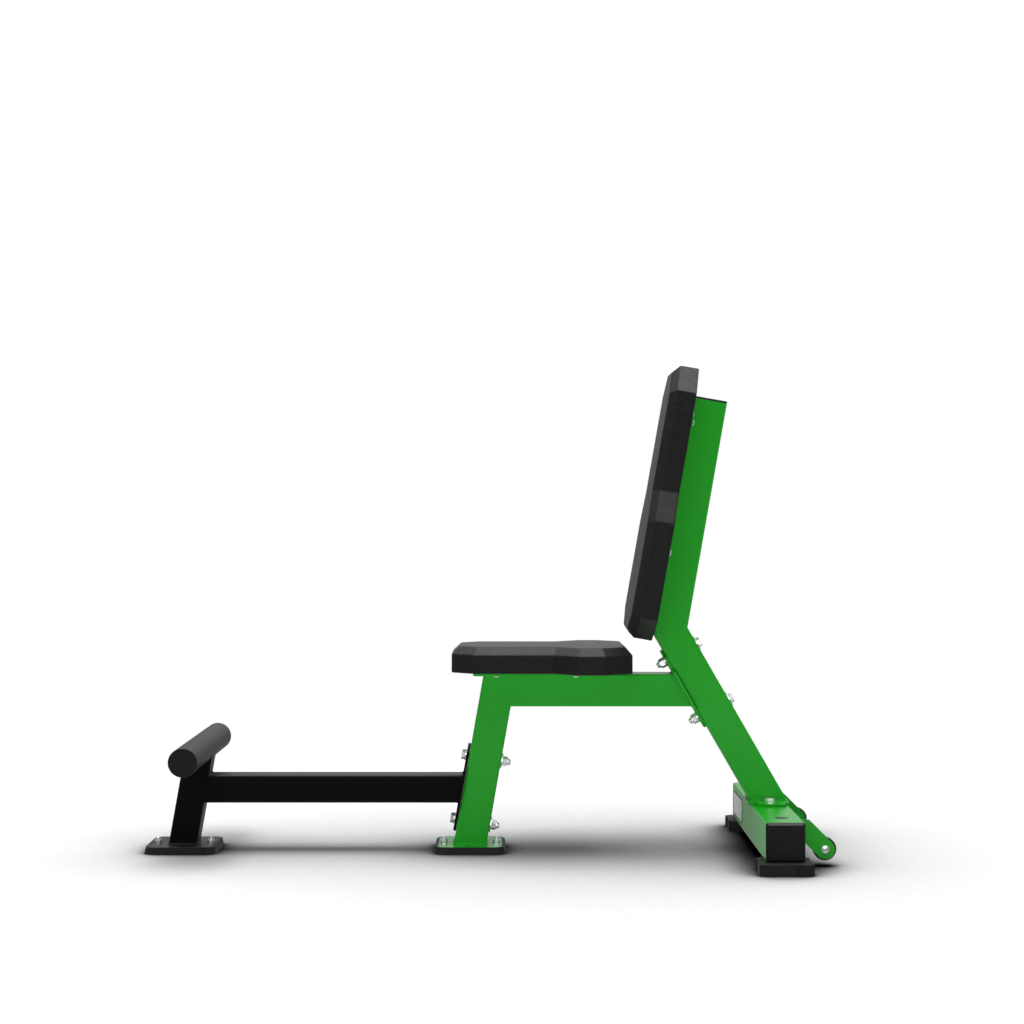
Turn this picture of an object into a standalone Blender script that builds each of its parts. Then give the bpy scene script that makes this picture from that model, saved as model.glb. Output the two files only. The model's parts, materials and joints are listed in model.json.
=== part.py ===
"""Upright utility bench with a bolt-on footrest, at its real size in metres.

X runs from the footrest to the transport wheels, Y across the bench and Z up from the floor.
The sizes below are measured from the point on the floor under the main post; the whole bench
then hangs on one empty that moves the middle of its length to the world's origin.
"""

import math

import bmesh
import bpy

# Clearances
GAP = 0.0003
BOLT_PLAY = 0.0005
THREAD_PLAY = 0.0003
AXLE_PLAY = 0.0003

# Leans of the tubes from upright, seen from the side
POST_LEAN = math.radians(10)
SPINE_LEAN = math.radians(-30)
BACK_LEAN = math.radians(10)

# Main frame: square tubes, green
TUBE_SIDE = 0.070
TUBE_WALL = 0.003
TUBE_CORNER = 0.004
SEAT_RAIL_TOP = 0.383
SPINE_FOOT_X = 0.6445
KINK_HEIGHT = 0.477
BACK_TUBE_LENGTH = 0.504
TOP_CAP_THICK = 0.004
CAP_PLUG_DEPTH = 0.018
CAP_HOLLOW = 0.001

# Footrest: square tubes and round bar, black
REST_SIDE = 0.060
REST_RAIL_HEIGHT = 0.1345
FOOT_SPACING = 0.621
BAR_DIAMETER = 0.0603
BAR_WALL = 0.003
BAR_LENGTH = 0.500
BAR_HEIGHT = 0.2182
BAR_CAP_THICK = 0.003
BAR_CAP_CHAMFER = 0.001
COPE_TIP_DROP = 0.003

# Feet under the two posts: a rubber pad round a steel plate
PAD_BOTTOM = 0.155
PAD_TOP = 0.149
PAD_HEIGHT = 0.0153
PAD_CORNER = 0.020
PLATE_SIDE = 0.137
PLATE_THICK = 0.006
PLATE_CORNER = 0.015
FOOT_BOLT_SPACING = 0.114
DRAIN_HOLE = 0.0115
DRAIN_HOLE_Y = 0.050

# Bolted joints of the through-bolts
JOINT_PLATE_LENGTH = 0.190
JOINT_PLATE_THICK = 0.006
JOINT_PLATE_WAIST = 0.0885
JOINT_PLATE_WIDTH = 0.086
JOINT_PLATE_END_WIDTH = 0.062
JOINT_PLATE_CHAMFER = 0.016
JOINT_BOLT_SPACING = 0.140
REST_JOINT_HEIGHT = 0.1365

# Seat and back brackets
SEAT_BRACKET_FRONT = 0.0075
SEAT_BRACKET_LENGTH = 0.270
SEAT_BRACKET_WIDTH = 0.190
SEAT_BRACKET_THICK = 0.006
SEAT_BOLT_SPACING = 0.170
SEAT_BOLT_GAUGE = 0.146
BACK_BRACKET_HEIGHT = 0.050
BACK_BRACKET_WIDTH = 0.190
BACK_BRACKET_THICK = 0.004
BACK_BOLT_GAUGE = 0.152
BACK_BOLT_LOW = 0.165
BACK_BOLT_BELOW_TOP = 0.057
BRACKET_CHAMFER = 0.012

# Upholstered pads: side wall, sloped border, almost flat face
PAD_WALL = 0.0395
PAD_SLOPE_IN = 0.018
PAD_SLOPE_UP = 0.0165
PAD_CROWN = 0.0018
PAD_CROWN_SHARE = 0.7
PAD_EDGE_RADIUS = 0.007
PAD_TUCK = 0.003
BOARD_THICK = 0.015
BOARD_INSET = 0.006
SEAT_OVERHANG = 0.047
SEAT_LENGTH = 0.387
SEAT_NOSE_WIDTH = 0.140
SEAT_WAIST_WIDTH = 0.225
SEAT_WIDTH = 0.313
SEAT_TAIL_WIDTH = 0.220
SEAT_NOSE_TAPER = 0.050
SEAT_WAIST_END = 0.218
SEAT_FLARE_END = 0.270
SEAT_TAIL_TAPER = 0.060
BACK_DROP = 0.0275
BACK_LENGTH = 0.5935
BACK_FOOT_WIDTH = 0.156
BACK_WIDTH = 0.286
BACK_SHOULDER_WIDTH = 0.230
BACK_HEAD_WIDTH = 0.120
BACK_FOOT_TAPER = 0.0464
BACK_WAIST_START = 0.2534
BACK_WAIST_END = 0.3214
BACK_HEAD_TAPER = 0.0574

# Rear crossmember, its rubber feet and the saddle that the spine stands on
CROSS_SIDE = 0.080
CROSS_WALL = 0.003
CROSS_LENGTH = 0.600
CROSS_CAP_THICK = 0.007
CROSS_CAP_CHAMFER = 0.005
SADDLE_THICK = 0.006
SADDLE_LENGTH = 0.088
SADDLE_SHIFT = -0.003
SADDLE_HALF_WIDTH = 0.061
SADDLE_TAB_LENGTH = 0.060
SADDLE_TAB_REACH = 0.087
SADDLE_TAB_CHAMFER = 0.004
SADDLE_BOLT_Y = 0.054
REAR_FOOT_HEIGHT = 0.0237
REAR_FOOT_WIDTH = 0.111
REAR_FOOT_INNER = 0.226
REAR_FOOT_OUTER = 0.336
REAR_FOOT_CHAMFER = 0.010
REAR_FOOT_INNER_CHAMFER = 0.023
REAR_FOOT_NOTCH = 0.0028
REAR_FOOT_NOTCH_LENGTH = 0.0475
ACCESS_HOLE = 0.030
ACCESS_HOLE_Y = 0.238

# Transport wheels between flat ears
WHEEL_Y = 0.207
WHEEL_DIAMETER = 0.048
WHEEL_WIDTH = 0.020
WHEEL_EDGE = 0.003
WHEEL_HUB = 0.020
WHEEL_HUB_RECESS = 0.0015
AXLE_BACK = 0.0529
AXLE_HEIGHT = 0.0363
EAR_WIDTH = 0.040
EAR_THICK = 0.005
EAR_GAP = 0.0216
EAR_TOP_BELOW = 0.0107

# Fasteners
M12 = {"thread": 0.012, "flats": 0.019, "head": 0.0075, "nut": 0.010, "collar": 0.0035}
M8 = {"thread": 0.008, "flats": 0.013, "nut": 0.0065}
WASHER_THICK = 0.0025
WASHER_SMALL = 0.024
WASHER_LARGE = 0.034
THREAD_END = 0.005
THREAD_CHAMFER = 0.001
HEAD_FACE = 0.92
HEAD_CROWN = 1.20
HEAD_CROWN_DROP = 0.07
COLLAR_MOUTH = 0.80
COLLAR_WIDTH = 0.92
BUTTON_HEAD = 0.016
BUTTON_HEAD_HEIGHT = 0.0048
BUTTON_DOME = (0.5, 1.0, 1.35)
BUTTON_KEY = 0.005
BUTTON_KEY_DEPTH = 0.0026
SEAT_BOLT_REACH = 0.013
AXLE_HEAD = 0.017
FOOT_BOLT_HEAD = 0.016
FOOT_BOLT_HEAD_HEIGHT = 0.004
FOOT_BOLT_RECESS = 0.002

# Cutters and overlaps: past a surface, through one wall and through a whole tube
OVERLAP = 0.001
WALL_DRILL = 0.040
TUBE_DRILL = 0.200

# Steps of the round surfaces
ROUND_STEPS = 16
WHEEL_STEPS = 36
BAR_STEPS = 40
CORNER_STEPS = 3
FOOT_CORNER_STEPS = 4
EAR_STEPS = 12
WELD = 1e-6
SMOOTH_ANGLE = math.radians(32)
UPRIGHT = math.radians(90)
CROSSWISE = (UPRIGHT, 0, 0)

# Places that follow from the sizes above
PLATE_TOP = PAD_HEIGHT
POST_FOOT = PLATE_TOP + GAP
RAIL_HEIGHT = SEAT_RAIL_TOP - TUBE_SIDE / 2
CROSS_BOTTOM = REAR_FOOT_HEIGHT + GAP
CROSS_HEIGHT = CROSS_BOTTOM + CROSS_SIDE / 2
CROSS_TOP = CROSS_BOTTOM + CROSS_SIDE
CROSS_X = SPINE_FOOT_X
CROSS_REAR = CROSS_X + CROSS_SIDE / 2
SADDLE_BOTTOM = CROSS_TOP + GAP
SPINE_FOOT_HEIGHT = SADDLE_BOTTOM + SADDLE_THICK + GAP
AXLE_X = CROSS_REAR + AXLE_BACK
FRONT_END = -FOOT_SPACING - PAD_BOTTOM / 2
REAR_END = AXLE_X + WHEEL_DIAMETER / 2
BENCH_SHIFT = -(FRONT_END + REAR_END) / 2


def clear_scene():
    for obj in list(bpy.data.objects):
        bpy.data.objects.remove(obj, do_unlink=True)


clear_scene()
parts = bpy.data.collections.new("upright_utility_bench")
cutters = bpy.data.collections.new("cutters")
bpy.context.scene.collection.children.link(parts)
bpy.context.scene.collection.children.link(cutters)
bench = bpy.data.objects.new("bench_centre", None)
bench.location.x = BENCH_SHIFT
parts.objects.link(bench)


# Materials
def finish(name, colour, roughness, metallic=0.0):
    material = bpy.data.materials.new(name)
    material.use_nodes = True
    shader = material.node_tree.nodes["Principled BSDF"]
    shader.inputs["Base Color"].default_value = (*colour, 1)
    shader.inputs["Roughness"].default_value = roughness
    shader.inputs["Metallic"].default_value = metallic
    return material


green_paint = finish("green_powder_coat", (0.018, 0.27, 0.020), 0.35)
black_paint = finish("black_powder_coat", (0.006, 0.006, 0.006), 0.35)
black_plastic = finish("black_plastic", (0.012, 0.012, 0.012), 0.5)
black_rubber = finish("black_rubber", (0.015, 0.015, 0.015), 0.7)
wheel_rubber = finish("wheel_rubber", (0.02, 0.02, 0.02), 0.55)
zinc = finish("zinc_plate", (0.62, 0.63, 0.65), 0.3, 1.0)
vinyl = finish("black_vinyl", (0.018, 0.018, 0.018), 0.5)
plywood = finish("plywood", (0.52, 0.36, 0.20), 0.7)


# Outlines, as lists of (x, y)
def arc(centre, radius, start, end, steps):
    turn = (end - start) / steps
    return [
        (centre[0] + radius * math.cos(start + turn * i), centre[1] + radius * math.sin(start + turn * i))
        for i in range(steps + 1)
    ]


def circle(diameter, steps=ROUND_STEPS, centre=(0, 0)):
    return arc(centre, diameter / 2, 0, math.tau, steps)[:-1]


def rectangle(length, width):
    x, y = length / 2, width / 2
    return [(x, y), (-x, y), (-x, -y), (x, -y)]


def rounded(corners, radius, steps=CORNER_STEPS):
    """The outline with an arc of the radius in place of each corner."""
    outline = []
    for i, (x, y) in enumerate(corners):
        before = (corners[i - 1][0] - x, corners[i - 1][1] - y)
        after = (corners[(i + 1) % len(corners)][0] - x, corners[(i + 1) % len(corners)][1] - y)
        before = (before[0] / math.hypot(*before), before[1] / math.hypot(*before))
        after = (after[0] / math.hypot(*after), after[1] / math.hypot(*after))
        half = math.acos(max(-1, min(1, before[0] * after[0] + before[1] * after[1]))) / 2
        reach = radius / math.tan(half)
        middle = (before[0] + after[0], before[1] + after[1])
        to_centre = radius / math.sin(half) / math.hypot(*middle)
        centre = (x + middle[0] * to_centre, y + middle[1] * to_centre)
        start = math.atan2(y + before[1] * reach - centre[1], x + before[0] * reach - centre[0])
        end = math.atan2(y + after[1] * reach - centre[1], x + after[0] * reach - centre[0])
        sweep = (end - start + math.pi) % math.tau - math.pi
        outline += arc(centre, radius, start, start + sweep, steps)
    return outline


def inset(corners, distance):
    """The outline, which runs anticlockwise, with every side moved inwards."""
    moved = []
    for i, corner in enumerate(corners):
        sides = []
        for start, end in ((corners[i - 1], corner), (corner, corners[(i + 1) % len(corners)])):
            along = (end[0] - start[0], end[1] - start[1])
            length = math.hypot(*along)
            normal = (-along[1] / length, along[0] / length)
            sides.append((normal, normal[0] * start[0] + normal[1] * start[1] + distance))
        (first, a), (second, b) = sides
        cross = first[0] * second[1] - first[1] * second[0]
        moved.append(((a * second[1] - b * first[1]) / cross, (b * first[0] - a * second[0]) / cross))
    return moved


def mirrored(half):
    """The whole outline from the half on the +Y side, which runs from the +X end to the -X end."""
    return half + [(x, -y) for x, y in reversed(half)]


# Meshes
def baked(obj):
    """The mesh of the object with its modifiers applied. The object is removed."""
    graph = bpy.context.evaluated_depsgraph_get()
    mesh = bpy.data.meshes.new_from_object(obj.evaluated_get(graph))
    bpy.data.objects.remove(obj, do_unlink=True)
    bm = bmesh.new()
    bm.from_mesh(mesh)
    bmesh.ops.remove_doubles(bm, verts=bm.verts, dist=WELD)
    bmesh.ops.recalc_face_normals(bm, faces=bm.faces)
    bm.to_mesh(mesh)
    bm.free()
    return mesh


def loose(name, data):
    obj = bpy.data.objects.new(name, data)
    cutters.objects.link(obj)
    return obj


def solid_slab(name, outline, thickness):
    """A flat outline with no hole, from z = 0 up to the thickness."""
    bm = bmesh.new()
    base = bm.faces.new([bm.verts.new((x, y, 0)) for x, y in outline])
    grown = bmesh.ops.extrude_face_region(bm, geom=[base])["geom"]
    top = [v for v in grown if isinstance(v, bmesh.types.BMVert)]
    bmesh.ops.translate(bm, vec=(0, 0, thickness), verts=top)
    bmesh.ops.recalc_face_normals(bm, faces=bm.faces)
    mesh = bpy.data.meshes.new(name)
    bm.to_mesh(mesh)
    bm.free()
    return mesh


def slab(name, loops, thickness):
    """A flat outline, with its holes as further loops, from z = 0 up to the thickness."""
    if len(loops) == 1:
        return solid_slab(name, loops[0], thickness)
    curve = bpy.data.curves.new(name, "CURVE")
    curve.dimensions = "2D"
    curve.fill_mode = "BOTH"
    curve.extrude = thickness / 2
    for loop in loops:
        spline = curve.splines.new("POLY")
        spline.points.add(len(loop) - 1)
        for point, (x, y) in zip(spline.points, loop):
            point.co = (x, y, 0, 1)
        spline.use_cyclic_u = True
    return raised(baked(loose(name, curve)), thickness / 2)


def turned(name, profile, steps=ROUND_STEPS, bored=False):
    """A profile of (radius, height), from its top down its outer side, turned about Z."""
    mesh = bpy.data.meshes.new(name)
    edges = [(i, i + 1) for i in range(len(profile) - 1)]
    if bored:
        edges.append((len(profile) - 1, 0))
    mesh.from_pydata([(radius, 0, height) for radius, height in profile], edges, [])
    obj = loose(name, mesh)
    screw = obj.modifiers.new("turn", "SCREW")
    screw.steps = screw.render_steps = steps
    screw.use_merge_vertices = True
    screw.merge_threshold = WELD
    return baked(obj)


def lofted(name, sections):
    """Sections of (outline, height), all with as many points, joined from the first to the last."""
    bm = bmesh.new()
    rings = [[bm.verts.new((x, y, height)) for x, y in outline] for outline, height in sections]
    for low, high in zip(rings, rings[1:]):
        for i in range(len(low)):
            bm.faces.new((low[i - 1], low[i], high[i], high[i - 1]))
    bm.faces.new(rings[0])
    bm.faces.new(rings[-1])
    bmesh.ops.recalc_face_normals(bm, faces=bm.faces)
    mesh = bpy.data.meshes.new(name)
    bm.to_mesh(mesh)
    bm.free()
    return mesh


def combined(name, first, *others, operation="UNION"):
    """One mesh of several that overlap, which are added to the first or taken out of it."""
    obj = loose(name, first)
    helpers = [loose(name + "_join", other) for other in others]
    for helper in helpers:
        join = obj.modifiers.new("join", "BOOLEAN")
        join.operation = operation
        join.object = helper
    mesh = baked(obj)
    for helper in helpers:
        bpy.data.objects.remove(helper, do_unlink=True)
    return mesh


def raised(mesh, height):
    for vertex in mesh.vertices:
        vertex.co.z += height
    return mesh


def hexagon(flats):
    radius = flats / math.sqrt(3)
    angles = [math.radians(60 * i) for i in range(6)]
    return [(radius * math.cos(a), radius * math.sin(a)) for a in angles]


# Objects
def place(obj, location, rotation=(0, 0, 0)):
    obj.parent = bench
    obj.location = location
    obj.rotation_euler = rotation
    return obj


def piece(name, mesh, material, location, rotation=(0, 0, 0)):
    """One part of the bench. Its mesh may be shared with copies of the same part."""
    obj = bpy.data.objects.new(name, mesh)
    parts.objects.link(obj)
    if not mesh.materials:
        mesh.materials.append(material)
    mesh.shade_smooth()
    mesh.set_sharp_from_angle(angle=SMOOTH_ANGLE)
    return place(obj, location, rotation)


def cutter(name, mesh, location, rotation=(0, 0, 0)):
    obj = place(loose(name, mesh), location, rotation)
    obj.hide_render = True
    obj.display_type = "WIRE"
    return obj


def cut(target, tool):
    hole = target.modifiers.new(tool.name, "BOOLEAN")
    hole.operation = "DIFFERENCE"
    hole.object = tool


def moved(point, lean, along, across=0.0, y=0.0):
    """The point carried along a line of that lean and, at right angles to it, towards +X."""
    return (
        point[0] + math.sin(lean) * along + math.cos(lean) * across,
        point[1] + y,
        point[2] + math.cos(lean) * along - math.sin(lean) * across,
    )


def reach(foot, lean, height, across=0.0):
    """How far up a leaning line from its foot a point beside it, at that distance across, meets the height."""
    return (height - foot[2] + math.sin(lean) * across) / math.cos(lean)


def tube(name, material, side, wall, start, lean, length, start_cut, end_cut, trims=(0, 0)):
    """A square tube along a line of that lean. Each cut is the lean of its end plane's normal, and each
    trim is the gap that the end keeps to its plane."""
    outer = rounded(rectangle(side, side), TUBE_CORNER)
    inner = rounded(rectangle(side - 2 * wall, side - 2 * wall), TUBE_CORNER - wall / 2)
    mesh = slab(name, [outer, inner], length)
    for vertex in mesh.vertices:
        at_end = vertex.co.z > length / 2
        slope = lean - (end_cut if at_end else start_cut)
        trim = trims[1] if at_end else trims[0]
        inward = -trim if at_end else trim
        vertex.co.z += vertex.co.x * math.tan(slope) + inward / math.cos(slope)
    return piece(name, mesh, material, start, (0, lean, 0))


# Fasteners, each with its seat at z = 0, its head above and its shank below
def thread_tip(radius, shank):
    """The end of a shank's profile, with its chamfer."""
    return [(radius, THREAD_CHAMFER - shank), (radius - THREAD_CHAMFER, -shank), (0, -shank)]


def hex_head(name, size):
    half = size["flats"] / 2
    head = slab(name, [hexagon(size["flats"])], size["head"])
    bevelled = turned(
        name + "_crown",
        [
            (0, size["head"]),
            (half * HEAD_FACE, size["head"]),
            (half * HEAD_CROWN, size["head"] - size["flats"] * HEAD_CROWN_DROP),
            (half * HEAD_CROWN, -OVERLAP),
            (0, -OVERLAP),
        ],
    )
    obj = loose(name, head)
    crown = loose(name + "_crown", bevelled)
    trim = obj.modifiers.new("crown", "BOOLEAN")
    trim.operation = "INTERSECT"
    trim.object = crown
    mesh = baked(obj)
    bpy.data.objects.remove(crown, do_unlink=True)
    return mesh


def through_bolt(name, size, washer, shank):
    """A hexagon bolt with the washer under its head, as one solid."""
    seat = WASHER_THICK if washer else 0
    top = seat + size["head"] / 2
    radius = size["thread"] / 2
    profile = [(0, top), (radius, top)]
    if washer:
        profile += [(radius, seat), (washer / 2, seat), (washer / 2, 0)]
    profile += [(radius, 0), *thread_tip(radius, shank)]
    return combined(name, turned(name + "_shank", profile), raised(hex_head(name + "_head", size), seat))


def lock_nut(name, size, washer, play=THREAD_PLAY):
    """A nut with its locking collar and the washer under it, as one solid."""
    bore = size["thread"] + 2 * play
    top = WASHER_THICK + size["nut"]
    half = size["flats"] / 2
    body = slab(name, [hexagon(size["flats"]), circle(bore)], size["nut"] + OVERLAP)
    collar = turned(
        name + "_collar",
        [
            (bore / 2, top + size["collar"]),
            (half * COLLAR_MOUTH, top + size["collar"]),
            (half * COLLAR_WIDTH, top + size["collar"] / 2),
            (half * COLLAR_WIDTH, WASHER_THICK),
            (washer / 2, WASHER_THICK),
            (washer / 2, 0),
            (bore / 2, 0),
        ],
        bored=True,
    )
    return combined(name, collar, raised(body, WASHER_THICK - OVERLAP))


def button_bolt(name, thread, head, shank):
    """A domed bolt head with a hexagon socket, on its shank."""
    dome = [(math.sin(a) * head / 2, math.cos(a) * BUTTON_HEAD_HEIGHT) for a in BUTTON_DOME]
    tip = thread_tip(thread / 2, shank)
    body = turned(name, [(0, BUTTON_HEAD_HEIGHT), *dome, (head / 2, 0), (thread / 2, 0), *tip])
    socket = slab(name + "_socket", [hexagon(BUTTON_KEY)], BUTTON_HEAD_HEIGHT)
    return combined(name, body, raised(socket, BUTTON_HEAD_HEIGHT - BUTTON_KEY_DEPTH), operation="DIFFERENCE")


def plain_nut(name):
    return slab(name, [hexagon(M8["flats"])], M8["nut"])


def stud(name, bottom, top):
    """A threaded stud that points up."""
    radius = M8["thread"] / 2
    end = [(0, top), (radius - THREAD_CHAMFER, top), (radius, top - THREAD_CHAMFER)]
    return turned(name, [*end, (radius, bottom), (0, bottom)])


def drill(name, diameter, length, location, rotation=(0, 0, 0), steps=ROUND_STEPS):
    """A round cutter whose middle is at the location."""
    mesh = raised(slab(name, [circle(diameter, steps)], length), -length / 2)
    return cutter(name, mesh, location, rotation)


# Feet under the two posts
plate_pocket = PLATE_SIDE + 2 * GAP
foot_plate_outline = rounded(rectangle(PLATE_SIDE, PLATE_SIDE), PLATE_CORNER, FOOT_CORNER_STEPS)
foot_recess = rounded(rectangle(plate_pocket, plate_pocket), PLATE_CORNER + GAP, FOOT_CORNER_STEPS)
foot_pad_mesh = lofted(
    "foot_pad",
    [
        (rounded(rectangle(PAD_BOTTOM, PAD_BOTTOM), PAD_CORNER, FOOT_CORNER_STEPS), 0),
        (rounded(rectangle(PAD_TOP, PAD_TOP), PAD_CORNER, FOOT_CORNER_STEPS), PAD_HEIGHT),
        (foot_recess, PAD_HEIGHT),
        (foot_recess, PAD_HEIGHT - PLATE_THICK - GAP),
    ],
)
drain_holes = [circle(DRAIN_HOLE, centre=(0, side * DRAIN_HOLE_Y)) for side in (-1, 1)]
foot_plate_mesh = slab("foot_plate", [foot_plate_outline, *drain_holes], PLATE_THICK)
foot_bolt_seat = FOOT_BOLT_RECESS + FOOT_BOLT_HEAD_HEIGHT
foot_bolt_mesh = combined(
    "foot_bolt",
    stud("foot_bolt_shank", foot_bolt_seat - OVERLAP, PLATE_TOP + GAP + M8["nut"] + THREAD_END),
    raised(slab("foot_bolt_head", [circle(FOOT_BOLT_HEAD)], FOOT_BOLT_HEAD_HEIGHT), FOOT_BOLT_RECESS),
    raised(plain_nut("foot_bolt_nut"), PLATE_TOP + GAP),
)
foot_drill_mesh = turned(
    "foot_drill",
    [
        (0, PAD_HEIGHT + OVERLAP),
        (M8["thread"] / 2 + BOLT_PLAY, PAD_HEIGHT + OVERLAP),
        (M8["thread"] / 2 + BOLT_PLAY, foot_bolt_seat + GAP),
        (FOOT_BOLT_HEAD / 2 + BOLT_PLAY, foot_bolt_seat + GAP),
        (FOOT_BOLT_HEAD / 2 + BOLT_PLAY, -OVERLAP),
        (0, -OVERLAP),
    ],
)
for foot, foot_x, paint in (("front", -FOOT_SPACING, black_paint), ("main", 0.0, green_paint)):
    pad = piece(foot + "_foot_pad", foot_pad_mesh.copy(), black_rubber, (foot_x, 0, 0))
    plate_place = (foot_x, 0, PLATE_TOP - PLATE_THICK)
    plate = piece(foot + "_foot_plate", foot_plate_mesh.copy(), paint, plate_place)
    for end, side in (("front", -1), ("rear", 1)):
        bolt_place = (foot_x + side * FOOT_BOLT_SPACING / 2, 0, 0)
        foot_drill = cutter(f"{foot}_foot_drill_{end}", foot_drill_mesh, bolt_place)
        cut(pad, foot_drill)
        cut(plate, foot_drill)
        piece(f"{foot}_foot_bolt_{end}", foot_bolt_mesh, zinc, bolt_place)

# Footrest: post, foot bar and rail
front_foot = (-FOOT_SPACING, 0, POST_FOOT)
bar_place = moved(front_foot, POST_LEAN, reach(front_foot, POST_LEAN, BAR_HEIGHT))
post_reach = reach(front_foot, POST_LEAN, BAR_HEIGHT - COPE_TIP_DROP)
front_post = tube(
    "front_post", black_paint, REST_SIDE, TUBE_WALL, front_foot, POST_LEAN, post_reach, 0, 0
)
cut(front_post, drill("bar_cope", BAR_DIAMETER + 2 * GAP, TUBE_DRILL, bar_place, CROSSWISE, BAR_STEPS))
bar_rings = [circle(BAR_DIAMETER, BAR_STEPS), circle(BAR_DIAMETER - 2 * BAR_WALL, BAR_STEPS)]
bar_tube = BAR_LENGTH - 2 * (BAR_CAP_THICK + GAP)
bar_end = (bar_place[0], bar_tube / 2, bar_place[2])
piece("foot_bar", slab("foot_bar", bar_rings, bar_tube), black_paint, bar_end, CROSSWISE)
bar_bore = BAR_DIAMETER / 2 - BAR_WALL - GAP
bar_cap_mesh = turned(
    "bar_cap",
    [
        (0, BAR_CAP_THICK),
        (BAR_DIAMETER / 2 - BAR_CAP_CHAMFER, BAR_CAP_THICK),
        (BAR_DIAMETER / 2, BAR_CAP_THICK - BAR_CAP_CHAMFER),
        (BAR_DIAMETER / 2, 0),
        (bar_bore, 0),
        (bar_bore, -CAP_PLUG_DEPTH),
        (bar_bore - TUBE_WALL, -CAP_PLUG_DEPTH),
        (bar_bore - TUBE_WALL, 0),
        (0, 0),
    ],
    BAR_STEPS,
)
for name, side in (("left", -1), ("right", 1)):
    cap_place = (bar_place[0], side * (bar_tube / 2 + GAP), bar_place[2])
    piece(f"foot_bar_cap_{name}", bar_cap_mesh, black_plastic, cap_place, (side * -UPRIGHT, 0, 0))

main_foot = (0.0, 0, POST_FOOT)
plate_front = -(TUBE_SIDE / 2 + GAP + JOINT_PLATE_THICK)
rail_start_x = moved(
    front_foot, POST_LEAN, reach(front_foot, POST_LEAN, REST_RAIL_HEIGHT, REST_SIDE / 2), REST_SIDE / 2
)[0]
rail_end_x = moved(
    main_foot, POST_LEAN, reach(main_foot, POST_LEAN, REST_RAIL_HEIGHT, plate_front), plate_front
)[0]
tube(
    "footrest_rail", black_paint, REST_SIDE, TUBE_WALL, (rail_start_x, 0, REST_RAIL_HEIGHT), UPRIGHT,
    rail_end_x - rail_start_x, UPRIGHT + POST_LEAN, UPRIGHT + POST_LEAN, (GAP, GAP),
)

# Joint plates: wide in the middle, where a tube is welded on, and narrower at the bolts
half_waist = JOINT_PLATE_WAIST / 2
half_length = JOINT_PLATE_LENGTH / 2
joint_outline = mirrored(
    [
        (half_length, JOINT_PLATE_END_WIDTH / 2 - JOINT_PLATE_CHAMFER),
        (half_length - JOINT_PLATE_CHAMFER, JOINT_PLATE_END_WIDTH / 2),
        (half_waist + JOINT_PLATE_CHAMFER / 2, JOINT_PLATE_END_WIDTH / 2),
        (half_waist, JOINT_PLATE_WIDTH / 2),
        (-half_waist, JOINT_PLATE_WIDTH / 2),
        (-half_waist - JOINT_PLATE_CHAMFER / 2, JOINT_PLATE_END_WIDTH / 2),
        (JOINT_PLATE_CHAMFER - half_length, JOINT_PLATE_END_WIDTH / 2),
        (-half_length, JOINT_PLATE_END_WIDTH / 2 - JOINT_PLATE_CHAMFER),
    ]
)
joint_plate_mesh = slab("joint_plate", [joint_outline], JOINT_PLATE_THICK)
joint_grip = TUBE_SIDE + JOINT_PLATE_THICK + 3 * GAP
joint_shank = joint_grip + WASHER_THICK + M12["nut"] + M12["collar"] + THREAD_END
joint_hole = M12["thread"] + 2 * BOLT_PLAY
small_hole = M8["thread"] + 2 * BOLT_PLAY


def bolted_joint(name, centre, lean, plate_side, head_side, head_washer, nut_washer, tube_name, paint):
    """The plate on one face of a leaning tube and its two through-bolts. A side is -1 for the face
    towards the footrest and 1 for the face towards the wheels."""
    face = TUBE_SIDE / 2 + GAP
    plate_seat = moved(centre, lean, 0, plate_side * face)
    plate_turn = (0, lean + plate_side * UPRIGHT, 0)
    plate_obj = piece(name + "_plate", joint_plate_mesh.copy(), paint, plate_seat, plate_turn)
    head_seat = face + GAP + (JOINT_PLATE_THICK if head_side == plate_side else 0)
    nut_seat = face + GAP + (JOINT_PLATE_THICK if head_side != plate_side else 0)
    bolt_mesh = through_bolt(name + "_bolt", M12, head_washer, joint_shank)
    nut_mesh = lock_nut(name + "_nut", M12, nut_washer)
    for end, step in (("upper", 1), ("lower", -1)):
        middle = moved(centre, lean, step * JOINT_BOLT_SPACING / 2)
        head_turn = (0, lean + head_side * UPRIGHT, 0)
        nut_turn = (0, lean - head_side * UPRIGHT, 0)
        tool = drill(f"{name}_drill_{end}", joint_hole, TUBE_DRILL, middle, head_turn)
        cut(plate_obj, tool)
        cut(bpy.data.objects[tube_name], tool)
        piece(f"{name}_bolt_{end}", bolt_mesh, zinc, moved(middle, lean, 0, head_side * head_seat), head_turn)
        piece(f"{name}_nut_{end}", nut_mesh, zinc, moved(middle, lean, 0, -head_side * nut_seat), nut_turn)


# Main post and seat rail, mitred together
corner_reach = reach(main_foot, POST_LEAN, RAIL_HEIGHT)
rail_start = moved(main_foot, POST_LEAN, corner_reach)
mitre = (POST_LEAN + UPRIGHT) / 2
tube(
    "main_post", green_paint, TUBE_SIDE, TUBE_WALL, main_foot, POST_LEAN, corner_reach, 0, mitre, (0, GAP / 2)
)
spine_foot = (SPINE_FOOT_X, 0, SPINE_FOOT_HEIGHT)
spine_joint = moved(spine_foot, SPINE_LEAN, reach(spine_foot, SPINE_LEAN, RAIL_HEIGHT, plate_front))
seat_rail_end = moved(spine_joint, SPINE_LEAN, 0, plate_front)[0]
spine_face = UPRIGHT + SPINE_LEAN
tube(
    "seat_rail", green_paint, TUBE_SIDE, TUBE_WALL, rail_start, UPRIGHT, seat_rail_end - rail_start[0], mitre,
    spine_face, (GAP / 2, GAP),
)
rest_joint = moved(main_foot, POST_LEAN, reach(main_foot, POST_LEAN, REST_JOINT_HEIGHT, plate_front))
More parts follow.
